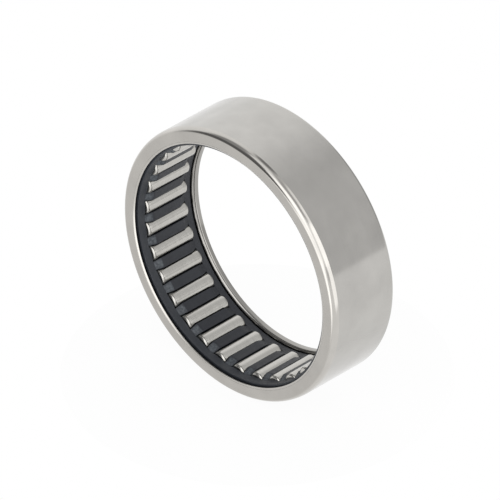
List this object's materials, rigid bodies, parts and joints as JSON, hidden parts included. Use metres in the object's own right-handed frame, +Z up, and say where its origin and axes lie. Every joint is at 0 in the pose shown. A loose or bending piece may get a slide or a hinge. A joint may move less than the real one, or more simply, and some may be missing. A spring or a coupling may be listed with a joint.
{
  "type": "needle roller bearing",
  "caption": "Drawn cup needle roller bearing, open at both ends: a thin steel cup with inward lips holds a black moulded cage whose steel needle rollers carry a shaft.",
  "frame": {"origin": "centre of the bearing, on its axis at the middle of its width", "axes": "+Y along the bearing's axis, from the front face with the rolled lip to the back face; +Z up, as the bearing stands on its rim in the picture"},
  "size_m": [0.042, 0.012, 0.042],
  "materials": {
    "cup_steel": "satin case-hardened strip steel with polished corners",
    "cage_polyamide": "moulded glass-filled polyamide, blue-black",
    "roller_steel": "fine ground through-hardened bearing steel"
  },
  "bodies": {
    "cup": {"cup": "cup_steel"},
    "cage": {"cage": "cage_polyamide"},
    "roller_01": {"roller_01": "roller_steel"},
    "roller_02": {"roller_02": "roller_steel"},
    "roller_03": {"roller_03": "roller_steel"},
    "roller_04": {"roller_04": "roller_steel"},
    "roller_05": {"roller_05": "roller_steel"},
    "roller_06": {"roller_06": "roller_steel"},
    "roller_07": {"roller_07": "roller_steel"},
    "roller_08": {"roller_08": "roller_steel"},
    "roller_09": {"roller_09": "roller_steel"},
    "roller_10": {"roller_10": "roller_steel"},
    "roller_11": {"roller_11": "roller_steel"},
    "roller_12": {"roller_12": "roller_steel"},
    "roller_13": {"roller_13": "roller_steel"},
    "roller_14": {"roller_14": "roller_steel"},
    "roller_15": {"roller_15": "roller_steel"},
    "roller_16": {"roller_16": "roller_steel"},
    "roller_17": {"roller_17": "roller_steel"},
    "roller_18": {"roller_18": "roller_steel"},
    "roller_19": {"roller_19": "roller_steel"},
    "roller_20": {"roller_20": "roller_steel"},
    "roller_21": {"roller_21": "roller_steel"},
    "roller_22": {"roller_22": "roller_steel"},
    "roller_23": {"roller_23": "roller_steel"},
    "roller_24": {"roller_24": "roller_steel"},
    "roller_25": {"roller_25": "roller_steel"},
    "roller_26": {"roller_26": "roller_steel"},
    "roller_27": {"roller_27": "roller_steel"},
    "roller_28": {"roller_28": "roller_steel"},
    "roller_29": {"roller_29": "roller_steel"},
    "roller_30": {"roller_30": "roller_steel"},
    "roller_31": {"roller_31": "roller_steel"}
  },
  "joints": [
    {"name": "cage_spin", "type": "hinge", "parent": "cup", "child": "cage", "pos_m": [0, 0, 0], "axis": [0, 1, 0], "continuous": true},
    {"name": "roller_01_spin", "type": "hinge", "parent": "cage", "child": "roller_01", "pos_m": [0.01871, -0.0004, 0.00126], "axis": [0, 1, 0], "continuous": true},
    {"name": "roller_02_spin", "type": "hinge", "parent": "cage", "child": "roller_02", "pos_m": [0.01807, -0.0004, 0.005], "axis": [0, 1, 0], "continuous": true},
    {"name": "roller_03_spin", "type": "hinge", "parent": "cage", "child": "roller_03", "pos_m": [0.0167, -0.0004, 0.00853], "axis": [0, 1, 0], "continuous": true},
    {"name": "roller_04_spin", "type": "hinge", "parent": "cage", "child": "roller_04", "pos_m": [0.01464, -0.0004, 0.01172], "axis": [0, 1, 0], "continuous": true},
    {"name": "roller_05_spin", "type": "hinge", "parent": "cage", "child": "roller_05", "pos_m": [0.01198, -0.0004, 0.01443], "axis": [0, 1, 0], "continuous": true},
    {"name": "roller_06_spin", "type": "hinge", "parent": "cage", "child": "roller_06", "pos_m": [0.00883, -0.0004, 0.01654], "axis": [0, 1, 0], "continuous": true},
    {"name": "roller_07_spin", "type": "hinge", "parent": "cage", "child": "roller_07", "pos_m": [0.00532, -0.0004, 0.01798], "axis": [0, 1, 0], "continuous": true},
    {"name": "roller_08_spin", "type": "hinge", "parent": "cage", "child": "roller_08", "pos_m": [0.00159, -0.0004, 0.01868], "axis": [0, 1, 0], "continuous": true},
    {"name": "roller_09_spin", "type": "hinge", "parent": "cage", "child": "roller_09", "pos_m": [-0.0022, -0.0004, 0.01862], "axis": [0, 1, 0], "continuous": true},
    {"name": "roller_10_spin", "type": "hinge", "parent": "cage", "child": "roller_10", "pos_m": [-0.00591, -0.0004, 0.01779], "axis": [0, 1, 0], "continuous": true},
    {"name": "roller_11_spin", "type": "hinge", "parent": "cage", "child": "roller_11", "pos_m": [-0.00937, -0.0004, 0.01624], "axis": [0, 1, 0], "continuous": true},
    {"name": "roller_12_spin", "type": "hinge", "parent": "cage", "child": "roller_12", "pos_m": [-0.01245, -0.0004, 0.01402], "axis": [0, 1, 0], "continuous": true},
    {"name": "roller_13_spin", "type": "hinge", "parent": "cage", "child": "roller_13", "pos_m": [-0.01501, -0.0004, 0.01123], "axis": [0, 1, 0], "continuous": true},
    {"name": "roller_14_spin", "type": "hinge", "parent": "cage", "child": "roller_14", "pos_m": [-0.01697, -0.0004, 0.00798], "axis": [0, 1, 0], "continuous": true},
    {"name": "roller_15_spin", "type": "hinge", "parent": "cage", "child": "roller_15", "pos_m": [-0.01823, -0.0004, 0.0044], "axis": [0, 1, 0], "continuous": true},
    {"name": "roller_16_spin", "type": "hinge", "parent": "cage", "child": "roller_16", "pos_m": [-0.01874, -0.0004, 0.00064], "axis": [0, 1, 0], "continuous": true},
    {"name": "roller_17_spin", "type": "hinge", "parent": "cage", "child": "roller_17", "pos_m": [-0.01848, -0.0004, -0.00315], "axis": [0, 1, 0], "continuous": true},
    {"name": "roller_18_spin", "type": "hinge", "parent": "cage", "child": "roller_18", "pos_m": [-0.01747, -0.0004, -0.0068], "axis": [0, 1, 0], "continuous": true},
    {"name": "roller_19_spin", "type": "hinge", "parent": "cage", "child": "roller_19", "pos_m": [-0.01575, -0.0004, -0.01018], "axis": [0, 1, 0], "continuous": true},
    {"name": "roller_20_spin", "type": "hinge", "parent": "cage", "child": "roller_20", "pos_m": [-0.01337, -0.0004, -0.01314], "axis": [0, 1, 0], "continuous": true},
    {"name": "roller_21_spin", "type": "hinge", "parent": "cage", "child": "roller_21", "pos_m": [-0.01046, -0.0004, -0.01556], "axis": [0, 1, 0], "continuous": true},
    {"name": "roller_22_spin", "type": "hinge", "parent": "cage", "child": "roller_22", "pos_m": [-0.00711, -0.0004, -0.01735], "axis": [0, 1, 0], "continuous": true},
    {"name": "roller_23_spin", "type": "hinge", "parent": "cage", "child": "roller_23", "pos_m": [-0.00347, -0.0004, -0.01843], "axis": [0, 1, 0], "continuous": true},
    {"name": "roller_24_spin", "type": "hinge", "parent": "cage", "child": "roller_24", "pos_m": [0.00031, -0.0004, -0.01875], "axis": [0, 1, 0], "continuous": true},
    {"name": "roller_25_spin", "type": "hinge", "parent": "cage", "child": "roller_25", "pos_m": [0.00408, -0.0004, -0.0183], "axis": [0, 1, 0], "continuous": true},
    {"name": "roller_26_spin", "type": "hinge", "parent": "cage", "child": "roller_26", "pos_m": [0.00768, -0.0004, -0.01711], "axis": [0, 1, 0], "continuous": true},
    {"name": "roller_27_spin", "type": "hinge", "parent": "cage", "child": "roller_27", "pos_m": [0.01096, -0.0004, -0.01521], "axis": [0, 1, 0], "continuous": true},
    {"name": "roller_28_spin", "type": "hinge", "parent": "cage", "child": "roller_28", "pos_m": [0.0138, -0.0004, -0.01269], "axis": [0, 1, 0], "continuous": true},
    {"name": "roller_29_spin", "type": "hinge", "parent": "cage", "child": "roller_29", "pos_m": [0.01607, -0.0004, -0.00965], "axis": [0, 1, 0], "continuous": true},
    {"name": "roller_30_spin", "type": "hinge", "parent": "cage", "child": "roller_30", "pos_m": [0.01769, -0.0004, -0.00622], "axis": [0, 1, 0], "continuous": true},
    {"name": "roller_31_spin", "type": "hinge", "parent": "cage", "child": "roller_31", "pos_m": [0.01858, -0.0004, -0.00253], "axis": [0, 1, 0], "continuous": true}
  ],
  "couplings": [
    {"joint": "roller_01_spin", "follows": "cage_spin", "ratio": -16},
    {"joint": "roller_02_spin", "follows": "cage_spin", "ratio": -16},
    {"joint": "roller_03_spin", "follows": "cage_spin", "ratio": -16},
    {"joint": "roller_04_spin", "follows": "cage_spin", "ratio": -16},
    {"joint": "roller_05_spin", "follows": "cage_spin", "ratio": -16},
    {"joint": "roller_06_spin", "follows": "cage_spin", "ratio": -16},
    {"joint": "roller_07_spin", "follows": "cage_spin", "ratio": -16},
    {"joint": "roller_08_spin", "follows": "cage_spin", "ratio": -16},
    {"joint": "roller_09_spin", "follows": "cage_spin", "ratio": -16},
    {"joint": "roller_10_spin", "follows": "cage_spin", "ratio": -16},
    {"joint": "roller_11_spin", "follows": "cage_spin", "ratio": -16},
    {"joint": "roller_12_spin", "follows": "cage_spin", "ratio": -16},
    {"joint": "roller_13_spin", "follows": "cage_spin", "ratio": -16},
    {"joint": "roller_14_spin", "follows": "cage_spin", "ratio": -16},
    {"joint": "roller_15_spin", "follows": "cage_spin", "ratio": -16},
    {"joint": "roller_16_spin", "follows": "cage_spin", "ratio": -16},
    {"joint": "roller_17_spin", "follows": "cage_spin", "ratio": -16},
    {"joint": "roller_18_spin", "follows": "cage_spin", "ratio": -16},
    {"joint": "roller_19_spin", "follows": "cage_spin", "ratio": -16},
    {"joint": "roller_20_spin", "follows": "cage_spin", "ratio": -16},
    {"joint": "roller_21_spin", "follows": "cage_spin", "ratio": -16},
    {"joint": "roller_22_spin", "follows": "cage_spin", "ratio": -16},
    {"joint": "roller_23_spin", "follows": "cage_spin", "ratio": -16},
    {"joint": "roller_24_spin", "follows": "cage_spin", "ratio": -16},
    {"joint": "roller_25_spin", "follows": "cage_spin", "ratio": -16},
    {"joint": "roller_26_spin", "follows": "cage_spin", "ratio": -16},
    {"joint": "roller_27_spin", "follows": "cage_spin", "ratio": -16},
    {"joint": "roller_28_spin", "follows": "cage_spin", "ratio": -16},
    {"joint": "roller_29_spin", "follows": "cage_spin", "ratio": -16},
    {"joint": "roller_30_spin", "follows": "cage_spin", "ratio": -16},
    {"joint": "roller_31_spin", "follows": "cage_spin", "ratio": -16}
  ]
}
